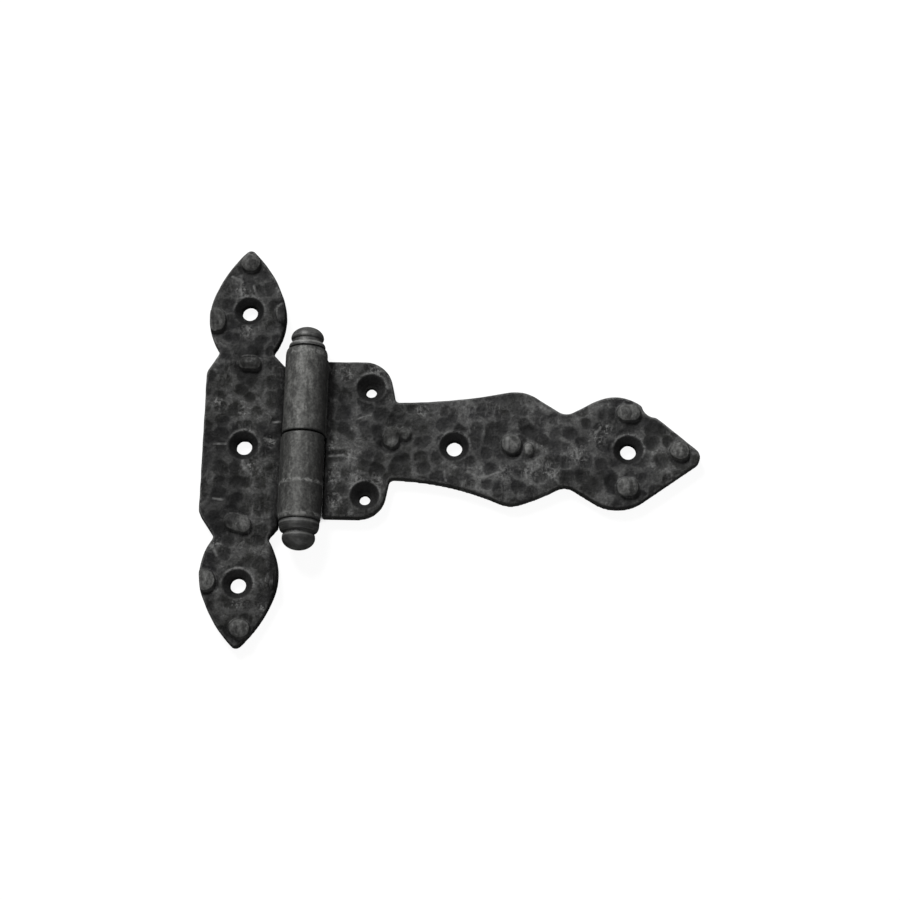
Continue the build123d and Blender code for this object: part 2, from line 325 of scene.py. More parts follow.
def dense_copy(node, name):
    """Even, fine mesh of a CAD node, which stands for it."""
    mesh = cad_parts[node].data.copy()
    shape = bmesh.new()
    shape.from_mesh(mesh)
    bmesh.ops.remove_doubles(shape, verts=shape.verts, dist=1e-6)
    shape.to_mesh(mesh)
    shape.free()
    mesh.materials.clear()
    piece = new_object(name, mesh)
    remesh = piece.modifiers.new("Remesh", "REMESH")
    remesh.mode = "VOXEL"
    remesh.voxel_size = VOXEL
    smooth = piece.modifiers.new("Smooth", "SMOOTH")
    smooth.factor = 0.5
    smooth.iterations = 2
    graph = bpy.context.evaluated_depsgraph_get()
    piece.data = bpy.data.meshes.new_from_object(piece.evaluated_get(graph))
    piece.modifiers.clear()
    return piece


def vertex_vectors(mesh, kind):
    """Each vertex's place (co) or normal, as the rows of an array."""
    values = np.zeros(len(mesh.vertices) * 3)
    mesh.vertices.foreach_get(kind, values)
    return values.reshape(-1, 3)


def snap_round(points, knuckle_side):
    """Put a knuckle's skin and the plate's back exactly on their true surfaces."""
    skin_depth = 0.3 * MM
    root_height = 2.6 * MM
    back_depth = 0.15 * MM
    across = points[:, 0] - AXIS_X
    up = points[:, 2] - AXIS_Z
    radius = np.hypot(across, up)
    along = (points[:, 1] - BARREL_MID_Y) * knuckle_side
    skin = (np.abs(radius - BARREL_RADIUS) < skin_depth) & (along > NEXT_KNUCKLE)
    skin &= along < KNUCKLE_LENGTH - KNUCKLE_NOSE
    skin &= ~((up < PLATE - AXIS_Z + root_height) & (across * knuckle_side > 0))
    scale = BARREL_RADIUS / np.maximum(radius, MM)
    points[skin, 0] = AXIS_X + across[skin] * scale[skin]
    points[skin, 2] = AXIS_Z + up[skin] * scale[skin]
    points[points[:, 2] < back_depth, 2] = 0.0
    return points


class Leaf:
    """A casting's points, and where each lies: by the barrel, a screw seat or a nail head."""

    def __init__(self, mesh, knuckle_side, seats, swells):
        self.points = snap_round(vertex_vectors(mesh, "co"), knuckle_side)
        self.normals = vertex_vectors(mesh, "normal")
        self.flat = self.points[:, :2].copy()
        self.rise = self.points[:, 2].copy()
        self.knuckle_side = knuckle_side
        self.find_barrel()
        self.find_seats(seats)
        self.find_heads(swells)

    def find_barrel(self):
        """Shares of lying on the barrel, clear of it, and on the plate's free front."""
        self.barrel_gap = np.abs(self.flat[:, 0] - AXIS_X)
        self.along = (self.flat[:, 1] - BARREL_MID_Y) * self.knuckle_side
        radius = np.hypot(self.flat[:, 0] - AXIS_X, self.rise - AXIS_Z)
        skin = (1 - step(0.25 * MM, 0.6 * MM, np.abs(radius - BARREL_RADIUS))) * (self.along > 0)
        skin *= step(4.6 * MM, 5.6 * MM, self.rise) + (self.barrel_gap < BARREL_RADIUS - 0.8 * MM)
        self.on_barrel = np.clip(skin, 0, 1)
        by_own = step(BARREL_RADIUS + 0.8 * MM, BARREL_RADIUS + 2.6 * MM, self.barrel_gap)
        by_other = step(7.0 * MM, 7.6 * MM, self.barrel_gap)
        self.off_barrel = np.where(self.along < -NEXT_KNUCKLE, by_other, by_own)
        upward = step(0.2, 0.85, self.normals[:, 2])
        self.front = upward * step(3.6 * MM, 4.4 * MM, self.rise) * self.off_barrel

    def find_seats(self, seats):
        """Distance from the nearest seat's edge, and the painted highlight on the upper arc of that edge,
        towards the lamp.
        """
        self.seat_gap = np.full(len(self.points), FAR)
        self.lit_arc = np.zeros(len(self.points))
        for x, y, seat_radius in seats:
            across = self.flat[:, 0] - x
            up = self.flat[:, 1] - y
            from_middle = np.hypot(across, up)
            near = from_middle < seat_radius + 2.0 * MM
            turned_up = SEAT_HIGHLIGHT_SIDE[0] * across + SEAT_HIGHLIGHT_SIDE[1] * up
            turned_up = turned_up / np.maximum(from_middle, 0.1 * MM)
            self.lit_arc = np.where(near, 0.2 + 0.8 * step(-0.5, 0.6, turned_up), self.lit_arc)
            self.seat_gap = np.minimum(self.seat_gap, from_middle - seat_radius)
        self.off_seats = step(0.0, 1.2 * MM, self.seat_gap)

    def find_heads(self, swells):
        """Shares of lying on a nail head, in the ditch round it and in the dented crescent below it,
        where shadow is painted.
        """
        self.upper = self.rise > PLATE - 1.2 * MM
        raised = (self.rise > PLATE + HEAD_RISE) & (self.barrel_gap > BARREL_RADIUS + 3.6 * MM)
        beside = self.upper & ~raised
        head_gap = np.full(len(self.points), FAR)
        below_gap = np.full(len(self.points), FAR)
        self.inside = np.zeros(len(self.points))
        head_gap[self.upper] = plan_gap(self.flat[self.upper], self.flat[raised])
        below_gap[beside] = plan_gap(self.flat[beside] + (0, CRESCENT_REACH), self.flat[raised])
        self.inside[raised] = plan_gap(self.flat[raised], self.flat[beside])
        self.on_head = 1 - step(0.0, 0.45 * MM, head_gap)
        # Dented crescent below each head, which also takes a painted shadow
        self.crescent_dent_and_painted_shadow = (1 - step(0.1 * MM, CRESCENT_REACH, below_gap)) * (1 - self.on_head)
        moat = np.exp(-(((head_gap - DITCH_MIDDLE) / DITCH_WIDTH) ** 2)) * (1 - self.on_head)
        self.melt = np.clip(2 * spots(self.flat, [swell[:3] for swell in swells]), 0, 1)
        self.moat = moat * (1 - self.melt)

    def hammer(self, spacing, salt):
        """Noises of three sizes, and hammer marks on a grid that they bend."""
        self.broad = soft_noise(self.points, BROAD, salt)
        self.middling = soft_noise(self.points, MIDDLING, salt + 1)
        self.fine = soft_noise(self.points, FINE, salt + 2)
        bend = np.stack([self.middling, soft_noise(self.points, MIDDLING, salt + 5)], 1)
        self.bent = self.flat + bend * 0.7 * MM
        self.marks = hammer_marks(self.bent, spacing, salt)
        self.worked = np.clip(0.8 + 0.6 * self.broad, 0.3, 1)

    def shape_front(self, mark_depth, hollows):
        """Press in marks, hollows and ditches, and dome the nail heads."""
        depth = mark_depth * self.worked * self.marks * (1 - 0.8 * self.on_head)
        self.pits = np.zeros(len(self.points))
        for x, y, pit_radius, deep in hollows:
            share = spots(self.bent, ((x, y, pit_radius),)) ** 1.2
            self.pits = np.maximum(self.pits, deep * MM * share * (1 - self.on_head))
        depth = np.maximum(depth, self.pits) + (0.16 * self.moat + 0.30 * self.crescent_dent_and_painted_shadow) * MM
        height = -depth * self.off_seats * self.front
        waves = 0.10 * self.broad + 0.07 * self.middling + 0.04 * self.fine
        height += waves * MM * self.front * self.off_seats
        dome = 0.80 * step(-0.4 * MM, 2.6 * MM, self.inside) + 0.14 * self.middling + 0.10 * self.fine
        height += (dome - 0.45) * MM * self.on_head * self.front
        self.points[:, 2] += height

    def raise_swells(self, swells):
        """Lift the face to soft hills, which start a little below it."""
        foot = 0.9
        for x, y, swell_radius, tall in swells:
            share = spots(self.flat, ((x, y, swell_radius),))
            hill = PLATE - foot * MM + (tall + foot + 0.15 * self.middling) * MM * share
            lifted = self.upper & (share > 0)
            self.points[lifted, 2] = np.maximum(self.points[lifted, 2], hill[lifted])

    def shape_sides(self, salt):
        """Make the sides of the plate and of each nail head uneven, and close the slot a little."""
        side = 1 - step(0.35, 0.8, np.abs(self.normals[:, 2]))
        side *= step(0.4 * MM, 1.5 * MM, self.rise) * step(7.0 * MM, 8.5 * MM, self.barrel_gap)
        side *= step(0.5 * MM, 1.5 * MM, self.seat_gap)
        uneven = (0.13 * self.broad + 0.10 * self.middling) * MM * side
        self.points[:, :2] += self.normals[:, :2] * uneven[:, None]
        head_side = (step(PLATE, PLATE + 0.3 * MM, self.rise) * self.on_head * self.front)[:, None]
        drift = np.stack([self.middling, soft_noise(self.points, MIDDLING, salt + 6)], 1)
        self.points[:, :2] += drift * 0.30 * MM * head_side
        in_slot = (self.along < -NEXT_KNUCKLE) & (self.barrel_gap < 7.3 * MM)
        in_slot &= np.abs(self.normals[:, 0]) > 0.6
        self.points[in_slot, 0] -= SLOT_CLOSING * np.sign(self.flat[in_slot, 0] - AXIS_X)

    def shares(self, tones, rubbed, scratches):
        """How much of each kind of wear, painted shade and painted highlight the material shows at each
        point.
        """
        rounded = step(0.2, 0.5, self.normals[:, 2]) * (1 - step(0.90, 0.995, self.normals[:, 2]))
        rim_wear_and_highlight = rounded * step(3.8 * MM, 4.2 * MM, self.rise) * (1 - self.on_head) * self.off_barrel
        # Painted highlight: rims facing the lamp get the full rubbed colour, the others half
        turned_up = RIM_HIGHLIGHT_SIDE[1] * self.normals[:, 1] + RIM_HIGHLIGHT_SIDE[0] * self.normals[:, 0]
        lit_edge = 0.5 + 0.5 * step(-0.3, 0.5, turned_up)
        face = self.front * self.off_seats * (1 - self.on_head)
        head = self.on_head * step(PLATE + 0.3 * MM, PLATE + 0.9 * MM, self.rise)
        high = step(PLATE + 0.6 * MM, PLATE + 1.1 * MM, self.rise)
        # Inside the screw seats: painted shade, and no flecks there
        in_seat = 1 - step(-0.3 * MM, 0.4 * MM, self.seat_gap)
        # Seat lips: a little rubbing all round and a painted highlight on the arc facing the lamp
        lip_wear_and_highlight = np.exp(-(((self.seat_gap - 0.35 * MM) / (0.45 * MM)) ** 2))
        end_gap = np.minimum(self.along, KNUCKLE_LENGTH - self.along)
        # Beside the barrel, where the root's shade is painted
        by_barrel = 1 - step(BARREL_RADIUS + 1.8 * MM, BARREL_RADIUS + 3.2 * MM, self.barrel_gap)
        tone_run = self.flat[:, 0] if self.knuckle_side > 0 else np.abs(self.flat[:, 1])
        tone_places, tone_shares = zip(*tones)
        scratched = strokes(self.bent, scratches) * self.front
        return {
            "mark": np.clip(self.marks, 0, 1) * self.worked,
            "face": face,
            "pit": np.clip(self.pits / (0.38 * MM), 0, 1) * face,
            "rim_wear_and_highlight": rim_wear_and_highlight * lit_edge * step(0.3 * MM, 1.0 * MM, self.seat_gap),
            "head": head * (1 - 0.7 * self.melt),
            "crown": self.on_head * (1 - step(0.3 * MM, 1.3 * MM, self.inside)) * high,
            "crescent_dent_and_painted_shadow": self.crescent_dent_and_painted_shadow * self.front,
            "seat": in_seat * step(0.2 * MM, 1.0 * MM, self.rise),
            "lip_wear_and_highlight": lip_wear_and_highlight * self.lit_arc * self.front,
            "barrel": self.on_barrel,
            "parting": 1 - step(0.25 * MM, 0.65 * MM, end_gap),
            "painted_root_shade": by_barrel * (1 - self.on_barrel) * step(0.5 * MM, 1.5 * MM, self.rise),
            "tone": np.interp(tone_run, np.array(tone_places) * MM, tone_shares),
            "rubbed": spots(self.flat, rubbed) * self.front,
            "scratch": scratched * np.clip(0.7 + 0.9 * self.fine, 0, 1),
        }


def hammered_leaf(node, name, knuckle_side, seats, wear, tones, mark_depth, spacing, salt):
    """Cast leaf with hammer marks, hollows and uneven edges, in place of its plain solid."""
    hollows, swells, rubbed, scratches = wear
    piece = dense_copy(node, name)
    mesh = piece.data
    leaf = Leaf(mesh, knuckle_side, seats, swells)
    leaf.hammer(spacing, salt)
    leaf.shape_front(mark_depth, hollows)
    leaf.raise_swells(swells)
    leaf.shape_sides(salt)
    mesh.vertices.foreach_set("co", leaf.points.ravel())
    for attribute, share in leaf.shares(tones, rubbed, scratches).items():
        layer = mesh.attributes.new(attribute, "FLOAT", "POINT")
        layer.data.foreach_set("value", share.astype(np.float32))
    for face in mesh.polygons:
        face.use_smooth = True
    mesh.update()
    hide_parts(node)
    return piece


class Nodes:
    """Short way to write a material's node tree."""

    def __init__(self, name):
        self.material = bpy.data.materials.new(name)
        self.material.use_nodes = True
        self.tree = self.material.node_tree
        self.shader = self.tree.nodes["Principled BSDF"]
        self.place = self.add("ShaderNodeTexCoord").outputs["Object"]

    def add(self, kind, **settings):
        node = self.tree.nodes.new(kind)
        for key, value in settings.items():
            setattr(node, key, value)
        return node

    def link(self, source, target):
        if isinstance(source, bpy.types.NodeSocket):
            self.tree.links.new(source, target)
        else:
            target.default_value = source

    def stretch(self, scale):
        node = self.add("ShaderNodeMapping")
        node.inputs["Scale"].default_value = scale
        self.link(self.place, node.inputs["Vector"])
        return node.outputs["Vector"]

    def noise(self, size, detail=4.0, roughness=0.55, place=None, distortion=0.0):
        """Noise from 0 to 1 whose grains are about size metres across."""
        node = self.add("ShaderNodeTexNoise")
        node.inputs["Scale"].default_value = 1 / size
        node.inputs["Detail"].default_value = detail
        node.inputs["Roughness"].default_value = roughness
        node.inputs["Distortion"].default_value = distortion
        self.link(place or self.place, node.inputs["Vector"])
        return node.outputs["Fac"]

    def attribute(self, name):
        return self.add("ShaderNodeAttribute", attribute_name=name).outputs["Fac"]

    def math(self, operation, first, second=0.0):
        node = self.add("ShaderNodeMath", operation=operation)
        self.link(first, node.inputs[0])
        self.link(second, node.inputs[1])
        return node.outputs[0]

    def times(self, first, *others):
        """Product of all the values."""
        for other in others:
            first = self.math("MULTIPLY", first, other)
        return first

    def rest(self, value):
        """What value leaves of 1."""
        return self.math("SUBTRACT", 1.0, value)

    def coordinate(self, axis):
        """The object's own X, Y or Z."""
        split = self.add("ShaderNodeSeparateXYZ")
        self.link(self.place, split.inputs[0])
        return split.outputs[axis]

    def gap(self, axis, middle):
        """Distance along the axis from the place middle."""
        return self.math("ABSOLUTE", self.math("SUBTRACT", self.coordinate(axis), middle))

    def ramp(self, value, low, high, start=0.0, end=1.0):
        """Value mapped from low..high to start..end, and held there."""
        node = self.add("ShaderNodeMapRange", interpolation_type="SMOOTHSTEP")
        for socket, number in zip(node.inputs[1:5], (low, high, start, end)):
            socket.default_value = number
        self.link(value, node.inputs["Value"])
        return node.outputs["Result"]

    def mix(self, share, first, second, blend="MIX"):
        node = self.add("ShaderNodeMix", data_type="RGBA", blend_type=blend)
        self.link(share, node.inputs["Factor"])
        self.link(first, node.inputs[6])
        self.link(second, node.inputs[7])
        return node.outputs[2]

    def bump(self, height, distance):
        node = self.add("ShaderNodeBump")
        node.inputs["Distance"].default_value = distance
        self.link(height, node.inputs["Height"])
        return node.outputs["Normal"]


def grey(level, warmth=0.0):
    """Linear grey with a little olive (warmth above 0) or blue (below 0)."""
    return (level * (1 + 0.4 * warmth), level * (1 + 0.5 * warmth), level * (1 - warmth), 1.0)


def finish(name):
    """Colour of the finish, by its name in FINISH."""
    return grey(*FINISH[name])


def band(kit, middle, half_width):
    """Share of a ring round the barrel at the height middle, in metres."""
    return kit.ramp(kit.gap("Y", middle), 0.0, half_width, 1.0, 0.0)


def worked_face(kit, broad, mottle, blotches):
    """Mottled black, dark in the hammer marks and rubbed on the ridges between them."""
    by_place = kit.ramp(kit.noise(16 * MM, 2.0), 0.42, 0.60)
    tint = kit.mix(by_place, finish("cool ground"), finish("olive ground"))
    colour = kit.mix(kit.ramp(mottle, 0.36, 0.68), tint, finish("mottle"))
    colour = kit.mix(kit.ramp(blotches, 0.52, 0.74, 0.0, 0.35), colour, finish("blotch"))

    # Dark hammer marks and hollows
    waver = kit.times(kit.math("SUBTRACT", blotches, 0.5), 0.55)
    mark = kit.math("ADD", kit.attribute("mark"), waver)
    face = kit.attribute("face")
    pit = kit.attribute("pit")
    hollow = kit.math("MAXIMUM", kit.times(kit.ramp(mark, 0.18, 0.72), 0.78), pit)
    colour = kit.mix(kit.times(hollow, face), colour, finish("hollow"))

    # Rubbed ridges, brightest where three marks meet
    patchy = kit.ramp(mottle, 0.36, 0.60, 0.35, 1.0)
    ridge = kit.times(kit.ramp(mark, 0.26, 0.02, 0.0, 0.85), patchy, face, kit.rest(pit))
    colour = kit.mix(ridge, colour, finish("ridge"))
    peak = kit.times(kit.ramp(mark, 0.02, -0.14), kit.ramp(broad, 0.42, 0.62), face, 0.85)
    colour = kit.mix(peak, colour, finish("peak"))
    return kit.mix(1.0, colour, kit.attribute("tone"), "MULTIPLY")


def edge_wear_and_painted_light(kit, colour, mottle, blotches):
    """The colour with rubbed nail heads; rubbed rims and lips with a painted highlight on the side facing
    the lamp; and painted shade in the seats, in the crescent below each head and in the barrel's root.
    """
    # Rims, rubbed and with a painted highlight on the side facing the lamp
    rim_wear_and_highlight = kit.times(kit.attribute("rim_wear_and_highlight"), kit.ramp(blotches, 0.35, 0.62, 0.1, 0.85))
    colour = kit.mix(rim_wear_and_highlight, colour, finish("rim_wear_and_highlight"))
    upright_wear = kit.noise(2.4 * MM, 2.5, 0.55, kit.stretch((1.5, 0.6, 1.0)))
    crown = kit.mix(kit.ramp(upright_wear, 0.36, 0.66), finish("dark head"), finish("light head"))
    ring = kit.times(kit.attribute("crown"), kit.ramp(mottle, 0.34, 0.60, 0.1, 0.7))
    crown = kit.mix(ring, crown, finish("head edge"))
    crown = kit.mix(0.7, crown, kit.attribute("tone"), "MULTIPLY")
    colour = kit.mix(kit.attribute("head"), colour, crown)
    # Painted shadow in the crescent below each nail head
    colour = kit.mix(kit.times(kit.attribute("crescent_dent_and_painted_shadow"), 0.88), colour, finish("crescent_dent_and_painted_shadow"))
    # Seat lips, rubbed a little and with a painted highlight on the arc facing the lamp
    lip_wear_and_highlight = kit.times(kit.attribute("lip_wear_and_highlight"), kit.ramp(blotches, 0.36, 0.56, 0.0, 0.9))
    colour = kit.mix(lip_wear_and_highlight, colour, finish("lip_wear_and_highlight"))
    # Painted shade inside the screw seats
    colour = kit.mix(kit.times(kit.attribute("seat"), 0.9), colour, finish("seat"))
    # Painted shade in the barrel's root, where the leaf meets the knuckle
    return kit.mix(kit.times(kit.attribute("painted_root_shade"), 0.85), colour, finish("painted_root_shade"))


def bare_flecks(kit, colour, off_barrel):
    """The colour with bright flecks, grit and scratches where the metal is rubbed bare."""
    off_seat = kit.rest(kit.attribute("seat"))
    upright = kit.noise(1.3 * MM, 4.0, 0.62, kit.stretch((1.5, 0.6, 1.0)))
    level = kit.noise(1.3 * MM, 4.0, 0.62, kit.stretch((0.6, 1.5, 1.0)))
    fleck = kit.math("MAXIMUM", kit.ramp(upright, 0.44, 0.78), kit.ramp(level, 0.48, 0.84))
    sparse = kit.ramp(kit.noise(8 * MM, 3.0), 0.48, 0.66, 0.06, 0.40)
    bared = kit.times(kit.attribute("rubbed"), 0.85)
    fleck = kit.times(fleck, kit.math("MAXIMUM", sparse, bared), kit.rest(kit.attribute("pit")))
    fleck = kit.times(fleck, kit.ramp(kit.attribute("tone"), 0.3, 0.8, 0.55, 1.0), off_seat)
    colour = kit.mix(kit.times(fleck, off_barrel), colour, finish("fleck"))
    grit = kit.ramp(kit.noise(1.0 * MM, 2.0, 0.5), 0.55, 0.68, 0.0, 0.8)
    colour = kit.mix(kit.times(grit, bared, off_seat, off_barrel), colour, finish("grit"))
    return kit.mix(kit.times(kit.attribute("scratch"), 0.70), colour, finish("scratch"))


def barrel_skin(kit, grain, blotches):
    """Brushed grey of the turned barrel, with rubbed rings, a painted highlight down its middle, painted
    shade on its flanks and dark ends.
    """
    streaks = kit.noise(1.7 * MM, 5.0, 0.60, kit.stretch((1.2, 0.45, 1.0)))
    clouds = kit.noise(3.2 * MM, 3.0, 0.5, kit.stretch((1.0, 0.5, 1.0)))
    skin = kit.mix(kit.ramp(streaks, 0.33, 0.66), finish("dark barrel"), finish("light barrel"))
    skin = kit.mix(kit.ramp(clouds, 0.42, 0.62, 0.0, 0.65), skin, finish("barrel cloud"))
    # Painted highlight along a line left of the barrel's middle, and painted shade towards its flanks
    from_lit_line = kit.gap("X", AXIS_X - 0.8 * MM)
    skin = kit.mix(kit.ramp(from_lit_line, 0.0, 2.6 * MM, 0.30, 0.0), skin, finish("painted barrel highlight"))
    skin = kit.mix(kit.ramp(from_lit_line, 0.8 * MM, 6.5 * MM, 0.0, 0.76), skin, finish("painted barrel flank shade"))
    by_half = kit.mix(kit.ramp(kit.coordinate("Y"), 1 * MM, 5 * MM), grey(0.80), grey(1.0))
    skin = kit.mix(1.0, skin, by_half, "MULTIPLY")
    grains = kit.mix(kit.ramp(grain, 0.32, 0.68), grey(0.62), grey(1.38))
    skin = kit.mix(0.8, skin, grains, "MULTIPLY")
    for middle, half_width, share in BARREL_RINGS:
        ring = kit.times(band(kit, middle, half_width), kit.ramp(blotches, 0.40, 0.62, 0.0, share))
        skin = kit.mix(ring, skin, finish("barrel ring"))
    return kit.mix(kit.attribute("parting"), skin, finish("parting"))


def casting_material():
    """Antique black over hammered cast iron, rubbed grey on ridges, rims and nail heads, with painted
    highlights on rims and seat lips and painted shade in seats, below heads and in the barrel's root.
    """
    kit = Nodes("hammered_black")
    broad = kit.noise(11 * MM, 3.0, 0.55)
    mottle = kit.noise(3.0 * MM, 6.0, 0.66, distortion=0.5)
    blotches = kit.noise(1.7 * MM, 4.0, 0.62, distortion=0.8)
    grain = kit.noise(0.8 * MM, 3.0, 0.55)
    barrel = kit.attribute("barrel")
    off_barrel = kit.rest(barrel)
    colour = worked_face(kit, broad, mottle, blotches)
    colour = edge_wear_and_painted_light(kit, colour, mottle, blotches)

    # Grains and broad clouds that darken and lighten everything but the barrel
    grains = kit.mix(kit.ramp(grain, 0.30, 0.70), grey(0.72), grey(1.28))
    colour = kit.mix(off_barrel, colour, grains, "MULTIPLY")
    clouds = kit.mix(kit.ramp(broad, 0.36, 0.64), grey(0.68), grey(1.28))
    colour = kit.mix(off_barrel, colour, clouds, "MULTIPLY")
    colour = bare_flecks(kit, colour, off_barrel)
    colour = kit.mix(barrel, colour, barrel_skin(kit, grain, blotches))
    kit.link(colour, kit.shader.inputs["Base Color"])

    # Dull where the barrel's root is painted dark as shade and in the dark places, and smoother on the
    # barrel
    kit.link(kit.ramp(mottle, 0.3, 0.7, 0.68, 0.50), kit.shader.inputs["Roughness"])
    dull = kit.math("SUBTRACT", 0.20, kit.times(kit.attribute("painted_root_shade"), 0.12))
    shine = kit.times(kit.attribute("tone"), dull)
    shine = kit.math("MAXIMUM", shine, kit.times(barrel, 0.18))
    kit.link(shine, kit.shader.inputs["Specular IOR Level"])
    relief = kit.math("ADD", kit.times(grain, 0.6), kit.times(mottle, 1.2))
    relief = kit.math("ADD", relief, kit.times(blotches, 0.8))
    rugged = kit.rest(kit.times(barrel, 0.85))
    kit.link(kit.bump(kit.times(relief, rugged), 0.28 * MM), kit.shader.inputs["Normal"])
    return kit.material


def turned_material():
    """Smooth antique black of the turned finials, with fine turning lines."""
    kit = Nodes("turned_black")
    lines = kit.noise(0.35 * MM, 3.0, 0.5, kit.stretch((0.05, 1.0, 0.05)))
    patches = kit.noise(2.2 * MM, 4.0, 0.6)
    colour = kit.mix(kit.ramp(patches, 0.35, 0.7), finish("dark cap"), finish("light cap"))
    colour = kit.mix(kit.ramp(lines, 0.5, 0.75, 0.0, 0.5), colour, finish("turning line"))
    by_end = kit.mix(kit.ramp(kit.coordinate("Y"), -10 * MM, 10 * MM), grey(0.55), grey(1.0))
    colour = kit.mix(1.0, colour, by_end, "MULTIPLY")
    # Rubbed rings with painted highlights on the finials' collars
    for middle, half_width, share in FINIAL_WORN_AND_LIT_RINGS:
        ring = kit.times(band(kit, middle, half_width), kit.ramp(patches, 0.30, 0.55, 0.3, share))
        colour = kit.mix(ring, colour, finish("cap ring wear and highlight"))
    kit.link(colour, kit.shader.inputs["Base Color"])
    kit.link(kit.ramp(patches, 0.3, 0.7, 0.60, 0.46), kit.shader.inputs["Roughness"])
    kit.link(kit.bump(kit.math("ADD", lines, patches), 0.06 * MM), kit.shader.inputs["Normal"])
    return kit.material


def pin_material():
    """Drawn steel of the pin inside the barrel."""
    kit = Nodes("drawn_steel")
    lines = kit.noise(0.3 * MM, 3.0, 0.5, kit.stretch((1.0, 0.03, 1.0)))
    kit.link(kit.mix(lines, finish("dark steel"), finish("light steel")), kit.shader.inputs["Base Color"])
    kit.link(kit.ramp(lines, 0.2, 0.8, 0.28, 0.42), kit.shader.inputs["Roughness"])
    kit.shader.inputs["Metallic"].default_value = 1.0
    return kit.material


def lathe(name, profile, body, node):
    """Smooth turned piece about the pin's axis; the profile is (y, radius) from tip to socket."""
    turns = 96
    shape = bmesh.new()
    rings = []
    for y, radius in profile:
        ring = []
        for turn in range(turns):
            angle = math.tau * turn / turns
            place = (AXIS_X + radius * math.cos(angle), y, AXIS_Z + radius * math.sin(angle))
            ring.append(shape.verts.new(place))
        rings.append(ring)
    for first, second in zip(rings, rings[1:]):
        for turn in range(turns):
            after = (turn + 1) % turns
            shape.faces.new((first[turn], first[after], second[after], second[turn]))
    shape.faces.new(rings[0])
    shape.faces.new(rings[-1])
    bmesh.ops.recalc_face_normals(shape, faces=shape.faces)
    mesh = bpy.data.meshes.new(name)
    shape.to_mesh(mesh)
    shape.free()
    for face in mesh.polygons:
        face.use_smooth = len(face.vertices) == 4
    piece = new_object(name, mesh)
    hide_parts(node)
    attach(piece, body)
    return piece


def rounded_path(corners, steps=5):
    """Points along straight runs with a round at each (y, radius, rounding) corner."""
    path = []
    for index, (y, radius, rounding) in enumerate(corners):
        here = Vector((y, radius))
        if rounding == 0 or index in (0, len(corners) - 1):
            path.append(here)
            continue
        before = Vector(corners[index - 1][:2]) - here
        after = Vector(corners[index + 1][:2]) - here
        start = here + before.normalized() * min(rounding, before.length / 2)
        end = here + after.normalized() * min(rounding, after.length / 2)
        for number in range(steps + 1):
            share = number / steps
            first = start.lerp(here, share)
            path.append(first.lerp(here.lerp(end, share), share))
    return path


def finial(name, node, end, seat, collar, groove_length, cap_rim):
    """Turned finial: a tapered collar, a groove and a domed cap; collar is its radius and length."""
    collar_radius, collar_length = collar
    taper = 0.6 * MM
    cap_height = 3.7 * MM
    cap_radius = 5.25 * MM
    groove_radius = 4.8 * MM
    spigot_radius = 2.2 * MM
    rim_start = seat + collar_length + groove_length
    rim_end = rim_start + cap_rim
    corners = [
        (seat, spigot_radius, 0),
        (seat, collar_radius - 0.1 * MM, 0.2 * MM),
        (seat + collar_length * 0.6, collar_radius - 0.25 * taper, 0.8 * MM),
        (seat + collar_length, collar_radius - 1.3 * taper, 0.5 * MM),
        (seat + collar_length, groove_radius, 0.25 * MM),
        (rim_start, groove_radius, 0.25 * MM),
        (rim_start, cap_radius - 0.1 * MM, 0.3 * MM),
        (rim_end, cap_radius, 0),
    ]
    path = rounded_path(corners)
    dome_steps = 16
    for number in range(1, dome_steps + 1):
        angle = math.pi / 2 * number / dome_steps
        radius = max(cap_radius * math.cos(angle), 0.02 * MM)
        path.append(Vector((rim_end + cap_height * math.sin(angle), radius)))
    profile = [(BARREL_MID_Y + end * point.x, point.y) for point in path]
    return lathe(name, profile, "frame", node)


def stage():
    """Floor that shows white to the camera, with painted shade in deep gaps and in a strip beside the
    knuckles' slot, and throws little light back.
    """
    bpy.ops.mesh.primitive_plane_add(size=6.0, location=(0, 0, -0.05 * MM))
    floor = bpy.context.object
    floor.name = "floor"
    kit = Nodes("pale_floor")
    kit.shader.inputs["Base Color"].default_value = (0.12, 0.12, 0.12, 1)
    kit.shader.inputs["Roughness"].default_value = 0.9
    kit.shader.inputs["Specular IOR Level"].default_value = 0.0
    path = kit.add("ShaderNodeLightPath")
    shade = kit.add("ShaderNodeAmbientOcclusion")
    shade.samples = 16
    shade.inputs["Distance"].default_value = 30 * MM
    openness = shade.outputs["AO"]

    # Painted shade: the glow is cut in the narrow slot beside the knuckles and in deep gaps; white on
    # open ground
    slot_gap = kit.gap("X", AXIS_X + 7 * MM)
    in_slot = kit.ramp(slot_gap, 2.5 * MM, 3.5 * MM, 1.0, 0.0)
    painted_slot_shade = kit.times(in_slot, kit.ramp(openness, 0.15, 0.32, 1.0, 0.0))
    open_ground = kit.ramp(openness, 0.03, 0.08, 0.0, 0.92)
    glow = kit.times(path.outputs["Is Camera Ray"], open_ground, kit.rest(painted_slot_shade))
    kit.shader.inputs["Emission Color"].default_value = (1, 1, 1, 1)
    kit.link(glow, kit.shader.inputs["Emission Strength"])
    floor.data.materials.append(kit.material)


def world_light(level):
    """Even grey sky that shows white to the camera."""
    world = bpy.data.worlds.new("studio")
    bpy.context.scene.world = world
    world.use_nodes = True
    tree = world.node_tree
    background = tree.nodes["Background"]
    background.inputs["Color"].default_value = (1, 1, 1, 1)
    path = tree.nodes.new("ShaderNodeLightPath")
    strength = tree.nodes.new("ShaderNodeMapRange")
    strength.inputs["To Min"].default_value = level
    strength.inputs["To Max"].default_value = 1.0
    tree.links.new(path.outputs["Is Camera Ray"], strength.inputs["Value"])
    tree.links.new(strength.outputs["Result"], background.inputs["Strength"])


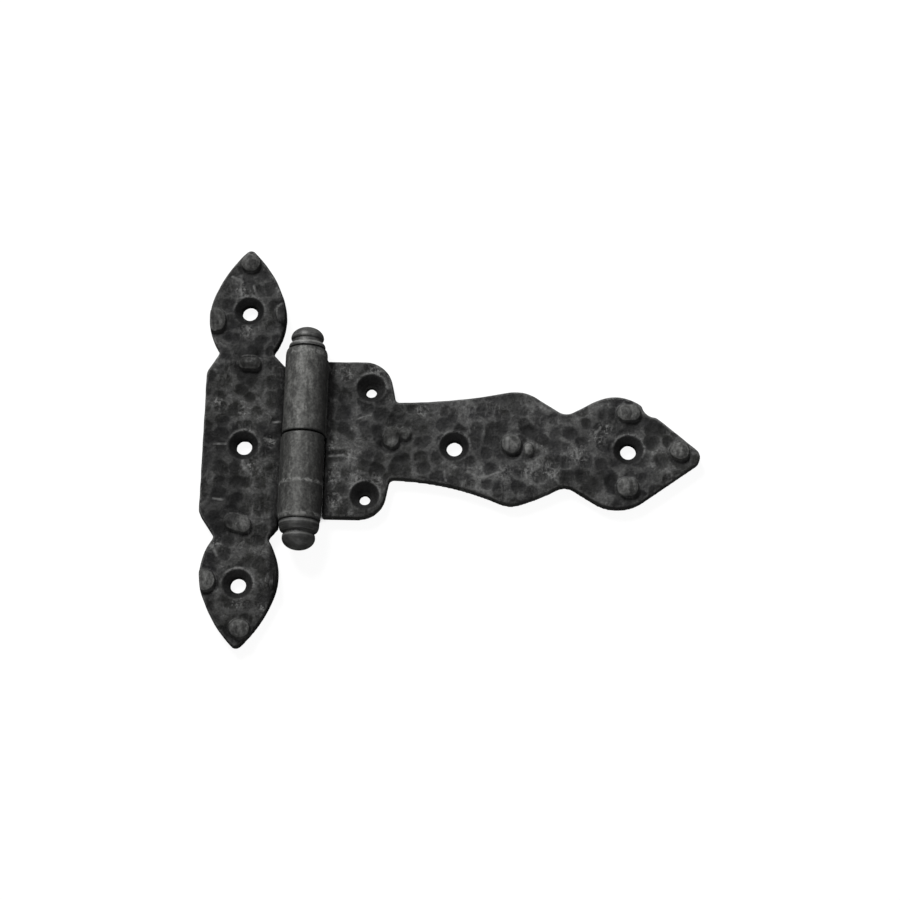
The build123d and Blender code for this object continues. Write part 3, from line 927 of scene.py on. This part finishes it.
def soft_lamp(name, place, size, power):
    """Square lamp that aims at the hinge."""
    lamp = bpy.data.lights.new(name, "AREA")
    lamp.shape = "SQUARE"
    lamp.size = size
    lamp.energy = power
    holder = new_object(name, lamp)
    holder.location = place
    aim = Vector(LAMP_TARGET) - Vector(place)
    holder.rotation_euler = aim.to_track_quat("-Z", "Y").to_euler()


def photo_camera():
    """Camera at the photograph's angle: nearly square to the plates, a little from below."""
    tilt = math.radians(17.0)
    turn = math.radians(2.0)
    roll = math.radians(1.7)
    distance = 0.822
    target = Vector((65.353, 1.179, 0)) * MM
    sensor = 36.0
    lens = 103.4
    back = Vector((math.sin(turn) * math.cos(tilt), -math.sin(tilt), math.cos(turn) * math.cos(tilt)))
    up = (Vector((0, 1, 0)) - back * back.y).normalized()
    side = up.cross(back)
    right = side * math.cos(roll) + up * math.sin(roll)
    upward = back.cross(right)
    data = bpy.data.cameras.new("photo_camera")
    data.sensor_width = sensor
    data.lens = lens
    data.clip_start = 0.05
    data.clip_end = 20
    camera = new_object("photo_camera", data)
    turned = Matrix((right, upward, back)).transposed().to_4x4()
    camera.matrix_world = Matrix.Translation(target + back * distance) @ turned
    bpy.context.scene.camera = camera


# The two castings
frame_wear = (FRAME_HOLLOWS, FRAME_SWELLS, FRAME_RUBBED, FRAME_SCRATCHES)
strap_wear = (STRAP_HOLLOWS, STRAP_SWELLS, STRAP_RUBBED, STRAP_SCRATCHES)
frame_casting = hammered_leaf(
    "frame_leaf", "frame_casting", -1, FRAME_SEATS, frame_wear, FRAME_TONES, 0.38 * MM, 4.9 * MM, 11
)
strap_casting = hammered_leaf(
    "strap_leaf", "strap_casting", 1, STRAP_SEATS, strap_wear, STRAP_TONES, 0.66 * MM, 5.0 * MM, 29
)
black_casting = casting_material()
for casting, body in ((frame_casting, "frame"), (strap_casting, "strap")):
    casting.data.materials.append(black_casting)
    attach(casting, body)

# Finials and pin
turned_black = turned_material()
upper_collar = (5.95 * MM, 1.8 * MM)
lower_collar = (6.5 * MM, 3.2 * MM)
upper_seat = KNUCKLE_LENGTH + 0.3 * MM
upper_cap = finial("upper_cap", "upper_finial", 1, upper_seat, upper_collar, 1.2 * MM, 0.5 * MM)
lower_cap = finial("lower_cap", "lower_finial", -1, KNUCKLE_LENGTH, lower_collar, 1.0 * MM, 1.0 * MM)
for cap in (upper_cap, lower_cap):
    cap.data.materials.append(turned_black)
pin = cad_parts["hinge_pin"]
pin.data.materials.clear()
pin.data.materials.append(pin_material())

# Stage, light and camera
stage()
world_light(0.16)
soft_lamp("key", (-0.44, 0.95, 1.02), 0.5, 27.0)
soft_lamp("fill", (0.9, 0.5, 1.2), 0.9, 3.0)
soft_lamp("low_fill", (0.06, -1.1, 0.4), 0.8, 5.0)
photo_camera()
bpy.context.scene.view_settings.view_transform = "Standard"
